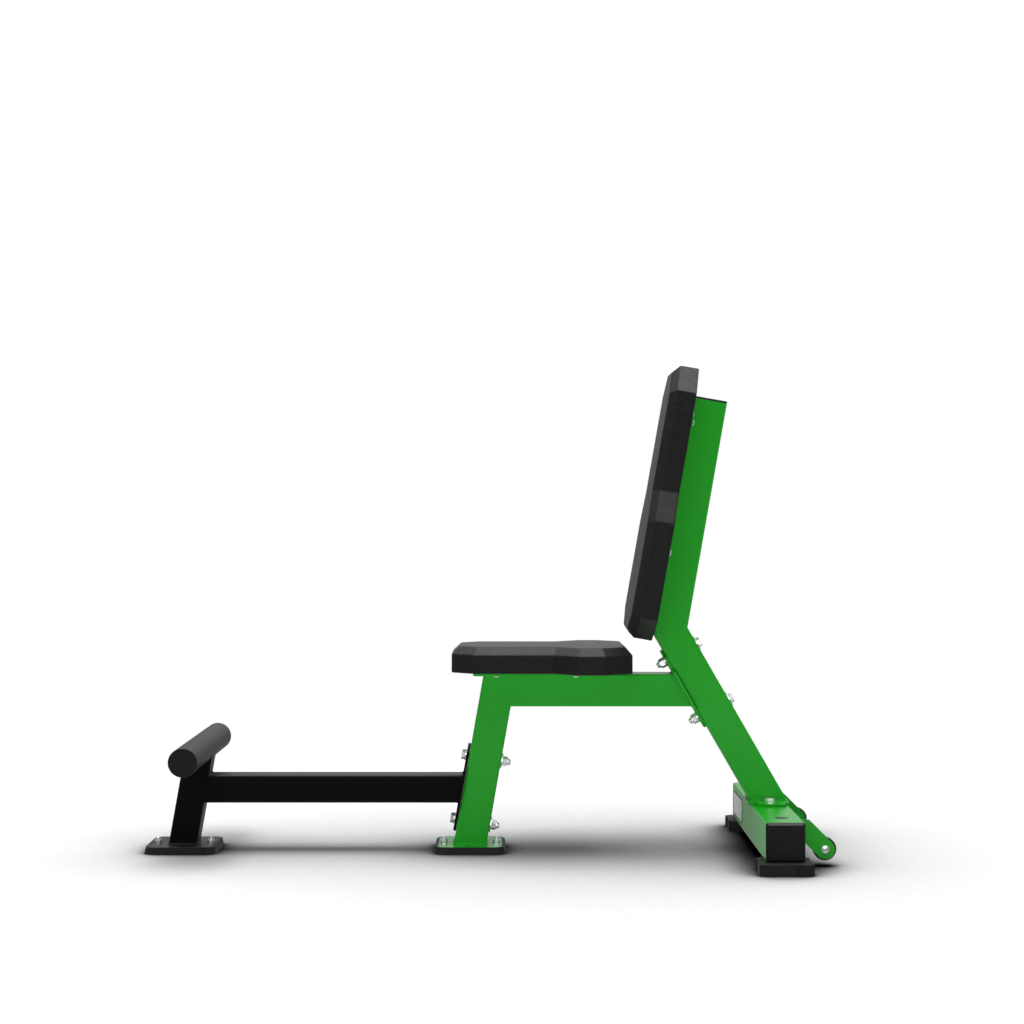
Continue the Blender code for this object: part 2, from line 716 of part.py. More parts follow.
bolted_joint(
    "footrest_joint", rest_joint, POST_LEAN, -1, -1, WASHER_SMALL, WASHER_LARGE, "main_post", black_paint
)

# Spine: a lower and an upper tube, mitred at the kink
kink_reach = reach(spine_foot, SPINE_LEAN, KINK_HEIGHT)
kink = moved(spine_foot, SPINE_LEAN, kink_reach)
kink_mitre = (SPINE_LEAN + BACK_LEAN) / 2
tube(
    "spine_lower", green_paint, TUBE_SIDE, TUBE_WALL, spine_foot, SPINE_LEAN, kink_reach, 0, kink_mitre,
    (0, GAP / 2),
)
tube(
    "spine_upper", green_paint, TUBE_SIDE, TUBE_WALL, kink, BACK_LEAN, BACK_TUBE_LENGTH, kink_mitre, BACK_LEAN,
    (GAP / 2, 0),
)
bolted_joint(
    "spine_joint", spine_joint, SPINE_LEAN, -1, 1, WASHER_LARGE, WASHER_SMALL, "spine_lower", green_paint
)


def tube_cap(name, side, wall, thick, chamfer, material, location, rotation):
    """A push-in end cap: a chamfered plate on a hollow plug that fills the tube's bore."""
    plate_outline = rounded(rectangle(side, side), TUBE_CORNER)
    face_outline = rounded(inset(rectangle(side, side), chamfer), TUBE_CORNER / 2)
    bore = rectangle(side - 2 * (wall + GAP), side - 2 * (wall + GAP))
    plug_outline = rounded(bore, TUBE_CORNER / 2)
    plug_bore = rounded(inset(bore, TUBE_WALL), TUBE_CORNER / 4)
    cap = lofted(
        name,
        [
            (plug_bore, CAP_HOLLOW),
            (plug_bore, -CAP_PLUG_DEPTH),
            (plug_outline, -CAP_PLUG_DEPTH),
            (plug_outline, 0),
            (plate_outline, 0),
            (plate_outline, thick - chamfer),
            (face_outline, thick),
        ],
    )
    return piece(name, cap, material, location, rotation)


spine_top = moved(kink, BACK_LEAN, BACK_TUBE_LENGTH + GAP)
tube_cap(
    "spine_top_cap", TUBE_SIDE, TUBE_WALL, TOP_CAP_THICK, TOP_CAP_THICK / 3, black_plastic, spine_top,
    (0, BACK_LEAN, 0),
)


# Pads: each is a board under a firm cushion
def pad(name, stations, location, rotation):
    """A pad that lies along X from its first station, given as (distance, width). Its board is let
    into its underside."""
    half = [(distance, width / 2) for distance, width in reversed(stations)]
    outline = mirrored(half)
    soft = PAD_EDGE_RADIUS
    board_outline = inset(outline, BOARD_INSET)
    pocket = rounded(inset(outline, BOARD_INSET - GAP), soft / 2)
    face = inset(outline, PAD_SLOPE_IN)
    top = PAD_WALL + PAD_SLOPE_UP
    sections = [
        (pocket, BOARD_THICK + GAP),
        (pocket, 0),
        (rounded(inset(outline, PAD_TUCK), soft), 0),
        (rounded(outline, soft), PAD_TUCK),
        (rounded(outline, soft), PAD_WALL - PAD_TUCK / 2),
        (rounded(inset(outline, PAD_TUCK / 2), soft), PAD_WALL + PAD_TUCK / 2),
        (rounded(inset(outline, PAD_SLOPE_IN - PAD_TUCK / 2), soft), top - PAD_TUCK / 2),
        (rounded(inset(face, PAD_TUCK), soft), top),
        (rounded(inset(face, PAD_SLOPE_IN), soft / 2), top + PAD_CROWN * PAD_CROWN_SHARE),
        (rounded(inset(face, PAD_SLOPE_IN * 2), soft / 4), top + PAD_CROWN),
    ]
    cushion = piece(name + "_cushion", lofted(name + "_cushion", sections), vinyl, location, rotation)
    board = slab(name + "_board", [rounded(board_outline, soft / 2)], BOARD_THICK)
    return cushion, piece(name + "_board", board, plywood, location, rotation)


def pad_bolt(name, bracket, board, seat, turn, shank):
    tool = drill(name + "_drill", small_hole, TUBE_DRILL, seat, turn)
    cut(bracket, tool)
    cut(board, tool)
    piece(name, pad_bolt_meshes[shank], zinc, seat, turn)


seat_shank = SEAT_BRACKET_THICK + SEAT_BOLT_REACH
back_shank = BACK_BRACKET_THICK + SEAT_BOLT_REACH
pad_bolt_meshes = {
    length: button_bolt("pad_bolt", M8["thread"], BUTTON_HEAD, length) for length in (seat_shank, back_shank)
}

# Seat
bracket_z = SEAT_RAIL_TOP + GAP
bracket_x = SEAT_BRACKET_FRONT + SEAT_BRACKET_LENGTH / 2
seat_z = bracket_z + SEAT_BRACKET_THICK + GAP
seat_bracket = piece(
    "seat_bracket",
    slab("seat_bracket", [rounded(rectangle(SEAT_BRACKET_LENGTH, SEAT_BRACKET_WIDTH), BRACKET_CHAMFER, 2)],
         SEAT_BRACKET_THICK),
    green_paint,
    (bracket_x, 0, bracket_z),
)
seat_cushion, seat_board = pad(
    "seat",
    [
        (0, SEAT_NOSE_WIDTH),
        (SEAT_NOSE_TAPER, SEAT_WAIST_WIDTH),
        (SEAT_WAIST_END, SEAT_WAIST_WIDTH),
        (SEAT_FLARE_END, SEAT_WIDTH),
        (SEAT_LENGTH - SEAT_TAIL_TAPER, SEAT_WIDTH),
        (SEAT_LENGTH, SEAT_TAIL_WIDTH),
    ],
    (SEAT_BRACKET_FRONT - SEAT_OVERHANG, 0, seat_z),
    (0, 0, 0),
)
for row, step in (("front", -1), ("rear", 1)):
    for name, side in (("left", -1), ("right", 1)):
        bolt_seat = (
            bracket_x + step * SEAT_BOLT_SPACING / 2,
            side * SEAT_BOLT_GAUGE / 2,
            bracket_z - GAP,
        )
        pad_bolt(f"seat_bolt_{row}_{name}", seat_bracket, seat_board, bolt_seat, (math.pi, 0, 0), seat_shank)

# Back
back_turn = (0, BACK_LEAN - UPRIGHT, 0)
bracket_off = -(TUBE_SIDE / 2 + GAP)
back_off = bracket_off - BACK_BRACKET_THICK - GAP
back_cushion, back_board = pad(
    "back",
    [
        (0, BACK_FOOT_WIDTH),
        (BACK_FOOT_TAPER, BACK_WIDTH),
        (BACK_WAIST_START, BACK_WIDTH),
        (BACK_WAIST_END, BACK_SHOULDER_WIDTH),
        (BACK_LENGTH - BACK_HEAD_TAPER, BACK_SHOULDER_WIDTH),
        (BACK_LENGTH, BACK_HEAD_WIDTH),
    ],
    moved(kink, BACK_LEAN, -BACK_DROP, back_off),
    back_turn,
)
half_bar = BACK_BRACKET_WIDTH / 2
bar_outline = mirrored(
    [
        (BACK_BRACKET_HEIGHT / 2, half_bar - BRACKET_CHAMFER),
        (BACK_BRACKET_HEIGHT / 2 - BRACKET_CHAMFER, half_bar),
        (BRACKET_CHAMFER - BACK_BRACKET_HEIGHT / 2, half_bar),
        (-BACK_BRACKET_HEIGHT / 2, half_bar - BRACKET_CHAMFER),
    ]
)
for row, height in (("lower", BACK_BOLT_LOW), ("upper", BACK_TUBE_LENGTH - BACK_BOLT_BELOW_TOP)):
    back_bracket = piece(
        f"back_bracket_{row}",
        slab("back_bracket", [bar_outline], BACK_BRACKET_THICK),
        green_paint,
        moved(kink, BACK_LEAN, height, bracket_off),
        back_turn,
    )
    for name, side in (("left", -1), ("right", 1)):
        bolt_seat = moved(kink, BACK_LEAN, height, bracket_off + GAP, side * BACK_BOLT_GAUGE / 2)
        bolt_turn = (0, BACK_LEAN + UPRIGHT, 0)
        pad_bolt(f"back_bolt_{row}_{name}", back_bracket, back_board, bolt_seat, bolt_turn, back_shank)

# Rear crossmember with its caps
crossmember = piece(
    "crossmember",
    slab(
        "crossmember",
        [
            rounded(rectangle(CROSS_SIDE, CROSS_SIDE), TUBE_CORNER),
            rounded(rectangle(CROSS_SIDE - 2 * CROSS_WALL, CROSS_SIDE - 2 * CROSS_WALL), TUBE_CORNER / 2),
        ],
        CROSS_LENGTH,
    ),
    green_paint,
    (CROSS_X, CROSS_LENGTH / 2, CROSS_HEIGHT),
    CROSSWISE,
)
for name, side in (("left", -1), ("right", 1)):
    tube_cap(
        f"crossmember_cap_{name}", CROSS_SIDE, CROSS_WALL, CROSS_CAP_THICK, CROSS_CAP_CHAMFER, black_plastic,
        (CROSS_X, side * (CROSS_LENGTH / 2 + GAP), CROSS_HEIGHT), (side * -UPRIGHT, 0, 0),
    )

# Saddle plate under the spine, with a tab at each end, and its two bolts through the crossmember
saddle_rear = SADDLE_LENGTH / 2
tab_rear = SADDLE_TAB_LENGTH / 2 - SADDLE_SHIFT
tab_front = -SADDLE_TAB_LENGTH / 2 - SADDLE_SHIFT
saddle_outline = mirrored(
    [
        (saddle_rear, SADDLE_HALF_WIDTH),
        (tab_rear + SADDLE_TAB_CHAMFER, SADDLE_HALF_WIDTH),
        (tab_rear, SADDLE_HALF_WIDTH + SADDLE_TAB_CHAMFER),
        (tab_rear, SADDLE_TAB_REACH - SADDLE_TAB_CHAMFER),
        (tab_rear - SADDLE_TAB_CHAMFER, SADDLE_TAB_REACH),
        (tab_front + SADDLE_TAB_CHAMFER, SADDLE_TAB_REACH),
        (tab_front, SADDLE_TAB_REACH - SADDLE_TAB_CHAMFER),
        (tab_front, SADDLE_HALF_WIDTH + SADDLE_TAB_CHAMFER),
        (tab_front - SADDLE_TAB_CHAMFER, SADDLE_HALF_WIDTH),
        (-saddle_rear, SADDLE_HALF_WIDTH),
    ]
)
saddle_plate = piece(
    "saddle_plate",
    slab("saddle_plate", [saddle_outline], SADDLE_THICK),
    green_paint,
    (CROSS_X + SADDLE_SHIFT, 0, SADDLE_BOTTOM),
)
saddle_grip = SADDLE_THICK + CROSS_SIDE + 3 * GAP
saddle_nut = raised(slab("saddle_nut", [hexagon(M12["flats"])], M12["nut"]), -saddle_grip - M12["nut"])
saddle_shank = saddle_grip + M12["nut"] + THREAD_END / 2
saddle_bolt_mesh = combined("saddle_bolt", through_bolt("saddle_bolt", M12, None, saddle_shank), saddle_nut)
for name, side in (("left", -1), ("right", 1)):
    bolt_seat = (CROSS_X, side * SADDLE_BOLT_Y, SADDLE_BOTTOM + SADDLE_THICK + GAP)
    tool = drill(f"saddle_drill_{name}", joint_hole, TUBE_DRILL, bolt_seat)
    cut(saddle_plate, tool)
    cut(crossmember, tool)
    piece(f"saddle_bolt_{name}", saddle_bolt_mesh, zinc, bolt_seat)

# Rear rubber feet: square blocks that reach past the ends of the crossmember, with a shallow notch in the
# middle of three sides and a moulded-in stud whose nut is reached through the hole above it
foot_half = REAR_FOOT_WIDTH / 2
notch_half = REAR_FOOT_NOTCH_LENGTH / 2
foot_middle = (REAR_FOOT_INNER + REAR_FOOT_OUTER) / 2
foot_half_outline = [
    (REAR_FOOT_OUTER - REAR_FOOT_NOTCH, notch_half),
    (REAR_FOOT_OUTER, notch_half),
    (REAR_FOOT_OUTER, foot_half - REAR_FOOT_CHAMFER),
    (REAR_FOOT_OUTER - REAR_FOOT_CHAMFER, foot_half),
    (foot_middle + notch_half, foot_half),
    (foot_middle + notch_half, foot_half - REAR_FOOT_NOTCH),
    (foot_middle - notch_half, foot_half - REAR_FOOT_NOTCH),
    (foot_middle - notch_half, foot_half),
    (REAR_FOOT_INNER + REAR_FOOT_INNER_CHAMFER, foot_half),
    (REAR_FOOT_INNER, foot_half - REAR_FOOT_INNER_CHAMFER),
]
stud_nut_seat = CROSS_BOTTOM + CROSS_WALL + GAP
stud_mesh = stud("rear_foot_stud", REAR_FOOT_HEIGHT / 2, stud_nut_seat + M8["nut"] + THREAD_END)
stud_nut = raised(plain_nut("rear_foot_nut"), stud_nut_seat)
for mesh in (stud_mesh, stud_nut):
    for vertex in mesh.vertices:
        vertex.co.x += ACCESS_HOLE_Y
rear_foot_mesh = combined(
    "rear_foot",
    slab("rear_foot", [mirrored(foot_half_outline)], REAR_FOOT_HEIGHT),
    stud_mesh,
    stud_nut,
)
for name, side in (("left", -1), ("right", 1)):
    piece(f"rear_foot_{name}", rear_foot_mesh, black_rubber, (CROSS_X, 0, 0), (0, 0, side * UPRIGHT))
    stud_hole = (CROSS_X, side * ACCESS_HOLE_Y, CROSS_BOTTOM)
    cut(crossmember, drill(f"stud_drill_{name}", small_hole, WALL_DRILL, stud_hole))
    access = (CROSS_X, side * ACCESS_HOLE_Y, CROSS_TOP)
    cut(crossmember, drill(f"access_drill_{name}", ACCESS_HOLE, WALL_DRILL, access))

# Wheels and their ears, which reach back and down from the crossmember at 45 degrees
ear_top = CROSS_TOP - EAR_TOP_BELOW
ear_root = CROSS_REAR + GAP - AXLE_X
ear_half = EAR_WIDTH / 2
slant = ear_half * math.sqrt(2)
ear_outline = [
    (ear_root, ear_top - AXLE_HEIGHT),
    (ear_root, -slant - ear_root),
    *arc((0, 0), ear_half, math.radians(-135), math.radians(45), EAR_STEPS),
    (slant - (ear_top - AXLE_HEIGHT), ear_top - AXLE_HEIGHT),
]
ear_mesh = slab("wheel_ear", [ear_outline, circle(small_hole)], EAR_THICK)
wheel_half = WHEEL_WIDTH / 2
wheel_bore = M8["thread"] / 2 + AXLE_PLAY
hub_face = wheel_half - WHEEL_HUB_RECESS
tread = WHEEL_DIAMETER / 2
wheel_profile = [
    (wheel_bore, wheel_half),
    (WHEEL_HUB / 2, wheel_half),
    (WHEEL_HUB / 2 + WHEEL_HUB_RECESS, hub_face),
    (tread - WHEEL_EDGE - WHEEL_HUB_RECESS, hub_face),
    (tread - WHEEL_EDGE, wheel_half),
    *[
        (tread - WHEEL_EDGE * (1 - math.sin(a)), wheel_half - WHEEL_EDGE * (1 - math.cos(a)))
        for a in (math.radians(30), math.radians(60), math.radians(90))
    ],
]
wheel_profile += [(radius, -height) for radius, height in reversed(wheel_profile)]
wheel_mesh = turned("wheel", wheel_profile, WHEEL_STEPS, bored=True)
axle_grip = EAR_GAP + 2 * EAR_THICK + 2 * GAP
axle_nut = raised(plain_nut("axle_nut"), -axle_grip - M8["nut"])
axle_shank = axle_grip + M8["nut"] + THREAD_END / 2
axle_mesh = combined("axle_bolt", button_bolt("axle_bolt", M8["thread"], AXLE_HEAD, axle_shank), axle_nut)
for name, side in (("left", -1), ("right", 1)):
    for place_name, step in (("outer", 1), ("inner", -1)):
        ear_y = side * (WHEEL_Y + step * (EAR_GAP + EAR_THICK) / 2) + EAR_THICK / 2
        piece(f"wheel_ear_{name}_{place_name}", ear_mesh, green_paint, (AXLE_X, ear_y, AXLE_HEIGHT), CROSSWISE)
    outward = (side * -UPRIGHT, 0, 0)
    piece(f"wheel_{name}", wheel_mesh, wheel_rubber, (AXLE_X, side * WHEEL_Y, AXLE_HEIGHT), outward)
    axle_y = side * (WHEEL_Y + axle_grip / 2)
    piece(f"axle_bolt_{name}", axle_mesh, zinc, (AXLE_X, axle_y, AXLE_HEIGHT), outward)
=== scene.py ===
import json
import math

import bmesh
import bpy
from mathutils import Matrix, Vector

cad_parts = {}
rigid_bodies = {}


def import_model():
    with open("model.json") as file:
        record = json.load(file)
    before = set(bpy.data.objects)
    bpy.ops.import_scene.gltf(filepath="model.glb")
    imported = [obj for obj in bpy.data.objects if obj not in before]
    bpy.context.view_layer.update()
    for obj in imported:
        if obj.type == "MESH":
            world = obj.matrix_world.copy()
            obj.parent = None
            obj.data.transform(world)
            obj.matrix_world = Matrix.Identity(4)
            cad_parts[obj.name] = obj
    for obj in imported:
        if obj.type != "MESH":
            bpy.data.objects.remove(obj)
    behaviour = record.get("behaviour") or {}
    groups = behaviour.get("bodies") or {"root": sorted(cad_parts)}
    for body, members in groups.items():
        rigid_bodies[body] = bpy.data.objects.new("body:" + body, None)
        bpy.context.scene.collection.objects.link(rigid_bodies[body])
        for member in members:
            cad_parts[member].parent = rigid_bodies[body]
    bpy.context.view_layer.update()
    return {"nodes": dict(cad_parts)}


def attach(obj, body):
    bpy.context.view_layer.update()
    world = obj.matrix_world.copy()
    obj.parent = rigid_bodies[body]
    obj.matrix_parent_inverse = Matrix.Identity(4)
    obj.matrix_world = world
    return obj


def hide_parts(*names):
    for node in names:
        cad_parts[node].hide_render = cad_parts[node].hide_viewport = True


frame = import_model()


# Green frame: the leaning post, seat rail, two-part spine and crossmember are square steel
# tube, cut and welded, with plates welded on. It is sprayed with glossy green powder coat,
# which keeps a fine orange peel and rounds off the sharp corners of the plates.
class Shade:
    """A value in a finish's nodes. Sums, products and powers of it add their own nodes."""

    def __init__(self, tree, socket):
        self.tree = tree
        self.socket = socket

    def node(self, kind, settings, inputs, output=0):
        """Adds any other node: its settings first, then the values or links of its sockets."""
        made = self.tree.nodes.new(kind)
        for name, value in settings.items():
            setattr(made, name, value)
        for name, value in inputs.items():
            if isinstance(value, Shade):
                self.tree.links.new(value.socket, made.inputs[name])
            else:
                made.inputs[name].default_value = value
        return Shade(self.tree, made.outputs[output])

    def math(self, operation, *others):
        """A Math node whose first value is this one."""
        inputs = dict(enumerate((self, *others)))
        return self.node("ShaderNodeMath", {"operation": operation}, inputs)

    def __add__(self, other):
        return self.math("ADD", other)

    def __sub__(self, other):
        return self.math("SUBTRACT", other)

    def __rsub__(self, other):
        return self.node("ShaderNodeMath", {"operation": "SUBTRACT"}, {0: other, 1: self})

    def __mul__(self, other):
        return self.math("MULTIPLY", other)

    def __pow__(self, other):
        return self.math("POWER", other)

    __radd__ = __add__
    __rmul__ = __mul__

    def between(self, low, high):
        """0 below the low value, 1 above the high one, and a smooth step between them."""
        settings = {"interpolation_type": "SMOOTHSTEP"}
        inputs = {"Value": self, "From Min": low, "From Max": high}
        return self.node("ShaderNodeMapRange", settings, inputs)

    def specks(self, size, detail=2.0, roughness=0.5):
        """Noise over this place, with blotches of about the size in metres."""
        inputs = {"Vector": self, "Scale": 0.5 / size, "Detail": detail, "Roughness": roughness}
        return self.node("ShaderNodeTexNoise", {}, inputs)

    def colours(self, low, high):
        """A colour that goes from the first to the second as this mask goes from 0 to 1."""
        low, high = (end if isinstance(end, Shade) else (*end, 1) for end in (low, high))
        return self.node("ShaderNodeMix", {"data_type": "RGBA"}, {0: self, 6: low, 7: high}, 2)

    def bump(self, depth, strength, over=None):
        """Height of this depth in metres, as a bent normal, over another if one is given."""
        inputs = {"Height": self, "Distance": depth, "Strength": strength}
        if over is not None:
            inputs["Normal"] = over
        return self.node("ShaderNodeBump", {}, inputs)


def new_finish(name, **values):
    """Gives a new material, its shader with these values set, and the place on the object."""
    material = bpy.data.materials.new(name)
    material.use_nodes = True
    tree = material.node_tree
    shader = tree.nodes["Principled BSDF"]
    for socket, value in values.items():
        shader.inputs[socket.replace("_", " ")].default_value = value
    place = Shade(tree, None).node("ShaderNodeTexCoord", {}, {}, "Object")
    return material, shader, place


def feed(shader, **values):
    """Links worked-out values to a shader's sockets."""
    for socket, value in values.items():
        value.tree.links.new(value.socket, shader.inputs[socket.replace("_", " ")])


def powder_coat(name, colour, faded, gloss):
    """Sprayed and baked paint: an even colour with faint clouds, and a fine orange peel."""
    cloud_size, grain_size = 0.14, 0.0011
    fine_peel, coarse_peel, peel_depth = 0.0016, 0.006, 0.00004
    edge_radius = 0.0007
    material, shader, place = new_finish(name, IOR=1.5)
    clouds = place.specks(cloud_size, 3.0)
    grains = place.specks(grain_size, 2.0, 0.6)
    soft_edge = place.node("ShaderNodeBevel", {"samples": 4}, {"Radius": edge_radius})
    peel = place.specks(fine_peel, 1.0) + place.specks(coarse_peel, 0.0) * 0.6
    feed(
        shader,
        Base_Color=clouds.between(0.3, 0.75).colours(colour, faded),
        Roughness=gloss + clouds * 0.05 + grains * 0.06,
        Normal=peel.bump(peel_depth, 0.6, soft_edge),
    )
    return material


def dress(finish, *names):
    """Puts a finish on nodes of the model."""
    for name in names:
        mesh = frame["nodes"][name].data
        mesh.materials.clear()
        mesh.materials.append(finish)


def as_mesh(bm, name):
    """Ends the modelling of a piece and gives its mesh."""
    mesh = bpy.data.meshes.new(name)
    bm.to_mesh(mesh)
    bm.free()
    return mesh


def put(name, mesh, finish):
    """Makes a finished piece of a mesh, which rides on the frame."""
    made = bpy.data.objects.new(name, mesh)
    bpy.context.scene.collection.objects.link(made)
    mesh.materials.clear()
    mesh.materials.append(finish)
    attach(made, "frame")
    return made


weld_step = 0.0007
weld_radius = 0.0022
weld_ripple = 0.22
ripple_length = 0.0028


def bead(name, points, radius, finish, closed=True, ripple=weld_ripple):
    """Lays a round bead along points, with the ripples that a welding torch leaves."""
    curve = bpy.data.curves.new(name, "CURVE")
    curve.dimensions = "3D"
    curve.bevel_depth = radius
    curve.bevel_resolution = 1
    curve.use_fill_caps = True
    spline = curve.splines.new("POLY")
    spline.points.add(len(points) - 1)
    travelled = 0.0
    before = points[0]
    for spot, place in zip(spline.points, points):
        travelled += (place - before).length
        before = place
        spot.co = (*place, 1)
        spot.radius = 1 - ripple * abs(math.sin(math.pi * travelled / ripple_length))
    spline.use_cyclic_u = closed
    line = bpy.data.objects.new(name, curve)
    bpy.context.scene.collection.objects.link(line)
    bpy.context.view_layer.update()
    rounded = line.evaluated_get(bpy.context.evaluated_depsgraph_get())
    mesh = bpy.data.meshes.new_from_object(rounded)
    bpy.data.objects.remove(line)
    mesh.name = name
    for face in mesh.polygons:
        face.use_smooth = True
    put(name, mesh, finish)


def walk(corners, step, closed=True):
    """Points every step or so along the straight lines between corners."""
    points = []
    ends = corners[1:] + corners[:1] if closed else corners[1:]
    for start, end in zip(corners, ends):
        count = max(1, round((end - start).length / step))
        points += [start.lerp(end, i / count) for i in range(count)]
    return points if closed else points + [corners[-1]]


tube_corner = 0.004


def tube_rim(foot, along, side, point, normal):
    """The outline of a square tube where a plane cuts it, as corner points in order."""
    across = Vector((0, 1, 0))
    other = along.cross(across)
    middle = side / 2 - tube_corner
    rim = []
    for quarter in range(4):
        facing = math.radians(90 * quarter + 45)
        for step in range(4):
            angle = math.radians(90 * quarter + 30 * step)
            first = math.copysign(middle, math.cos(facing)) + tube_corner * math.cos(angle)
            second = math.copysign(middle, math.sin(facing)) + tube_corner * math.sin(angle)
            place = foot + other * first + across * second
            place += along * ((point - place).dot(normal) / along.dot(normal))
            rim.append(place)
    return rim


def tube_weld(name, foot, along, side, point, normal, finish):
    """Welds a square tube all round, where a plane cuts it."""
    rim = tube_rim(foot, along, side, point, normal)
    bead(name, walk(rim, weld_step), weld_radius, finish)


def plate_weld(name, start, end, radius):
    """Welds one straight edge of a plate to the green frame."""
    line = walk([Vector(start), Vector(end)], weld_step, closed=False)
    bead(name, line, radius, green, closed=False)


def joint_paint(name, plate, across, along, finish):
    """Two strips of paint that close the hair's breadth between a bolted plate and its tube."""
    thick, width, out, apart, short = 0.0002, 0.006, 0.00015, 0.011, 0.002
    places = [v.co for v in frame["nodes"][plate].data.vertices]
    face = max(p.dot(across) for p in places)
    low, high = (pick(p.dot(along) for p in places) for pick in (min, max))
    bm = bmesh.new()
    for side in (-1, 1):
        strip = bmesh.ops.create_cube(bm, size=1.0)["verts"]
        bmesh.ops.scale(bm, vec=(thick, width, high - low - short), verts=strip)
        bmesh.ops.translate(bm, vec=(face + out, side * apart, (low + high) / 2), verts=strip)
    turn = Matrix((across, Vector((0, 1, 0)), along)).transposed().to_4x4()
    bmesh.ops.transform(bm, matrix=turn, verts=bm.verts)
    put(name, as_mesh(bm, name), finish)


def leaning(degrees):
    """The direction of a tube that leans so far from upright, and the one square to it."""
    angle = math.radians(degrees)
    along = Vector((math.sin(angle), 0, math.cos(angle)))
    return along, Vector((along.z, 0, -along.x))


green = powder_coat(
    "green_powder_coat", colour=(0.0140, 0.42, 0.0170), faded=(0.0150, 0.445, 0.0185), gloss=0.26,
)
dress(
    green, "main_foot_plate", "main_post", "seat_rail", "seat_bracket", "spine_joint_plate",
    "spine_lower", "spine_upper", "back_bracket_lower", "back_bracket_upper", "saddle_plate",
    "crossmember", "wheel_ear_left_outer", "wheel_ear_left_inner", "wheel_ear_right_outer",
    "wheel_ear_right_inner",
)
up = Vector((0, 0, 1))
rearward = Vector((1, 0, 0))
lean, across_lean = leaning(10)
spine_lean, across_spine = leaning(-30)
green_tube = 0.070
main_foot = Vector((-0.03145, 0, 0.0156))
spine_foot = Vector((0.61305, 0, 0.1106))
seat_rail_middle = Vector((0.30, 0, 0.348))
seat_rail_end = Vector((0.4283, 0, 0.348))
post_top = Vector((0.02716, 0, 0.348))
kink = Vector((0.40151, 0, 0.477))
for name, foot, along, point, normal in (
    ("main_post_weld", main_foot, lean, main_foot, up),
    ("spine_foot_weld", spine_foot, spine_lean, spine_foot, up),
    ("seat_rail_weld", seat_rail_middle, rearward, seat_rail_end, across_spine),
):
    tube_weld(name, foot, along, green_tube, point, normal, green)

# The two mitres are ground flush before painting, so they hardly show.
ground_inset = 0.0002
mitre_step = 0.004
mitre_radius = 0.0003
for name, foot, normal in (
    ("post_mitre", post_top, lean + rearward), ("kink_mitre", kink, lean + spine_lean),
):
    rim = tube_rim(foot, lean, green_tube - 2 * ground_inset, foot, normal)
    line = walk(rim, mitre_step)
    bead(name, line, mitre_radius, green, ripple=0)

wheel_middle = 0.207
ear_out = 0.0158
ear_weld_out = 0.0014
ear_root = 0.6535
ear_low, ear_high = 0.034, 0.088
plate_weld_radius = 0.0018
for side_name, side in (("left", -1), ("right", 1)):
    for ear_name, step in (("outer", 1), ("inner", -1)):
        y = side * (wheel_middle + step * (ear_out + ear_weld_out))
        name = f"ear_weld_{side_name}_{ear_name}"
        plate_weld(name, (ear_root, y, ear_low), (ear_root, y, ear_high), plate_weld_radius)

bracket_edge = 0.0262
spine_face = 0.0362
bracket_weld_half = 0.026
for row, height in (("lower", 0.165), ("upper", 0.447)):
    for edge_name, edge in (("top", 1), ("bottom", -1)):
        middle = kink + lean * (height + edge * bracket_edge) - across_lean * spine_face
        ends = [middle + Vector((0, side * bracket_weld_half, 0)) for side in (-1, 1)]
        plate_weld(f"back_bracket_{row}_weld_{edge_name}", *ends, plate_weld_radius)

joint_paint(
    "spine_joint_paint", "spine_joint_plate", across_spine, spine_lean, green,
)
rail_side = 0.0345
rail_top = 0.3818
stitch_length = 0.03
stitch_radius = 0.0016
for side_name, side in (("left", -1), ("right", 1)):
    for i, x in enumerate((0.045, 0.120, 0.195)):
        start, end = ((at, side * rail_side, rail_top) for at in (x, x + stitch_length))
        plate_weld(f"seat_bracket_weld_{side_name}_{i + 1}", start, end, stitch_radius)


# Footrest: a shorter leaning post and rail of 60 mm black square tube, with a round foot bar
# let into the post's top and a joint plate on the rail's end, bolted to the main post.
# It is sprayed with black powder coat and can be unbolted for shipping.
black = powder_coat(
    "black_powder_coat", colour=(0.0012, 0.0012, 0.0013), faded=(0.0022, 0.0022, 0.0024),
    gloss=0.40,
)
dress(
    black, "front_foot_plate", "front_post", "footrest_rail", "footrest_joint_plate", "foot_bar",
)
joint_paint(
    "footrest_joint_paint", "footrest_joint_plate", across_lean, lean, black,
)
black_tube = 0.060
front_foot = Vector((-0.65245, 0, 0.0156))
rail_front = Vector((-0.60102, 0, 0.1345))
rail_middle = Vector((-0.30, 0, 0.1345))
rail_rear = Vector((-0.05242, 0, 0.1345))
for name, foot, along, point, normal in (
    ("front_post_weld", front_foot, lean, front_foot, up),
    ("footrest_rail_front_weld", rail_middle, rearward, rail_front, across_lean),
    ("footrest_rail_rear_weld", rail_middle, rearward, rail_rear, across_lean),
):
    tube_weld(name, foot, along, black_tube, point, normal, black)


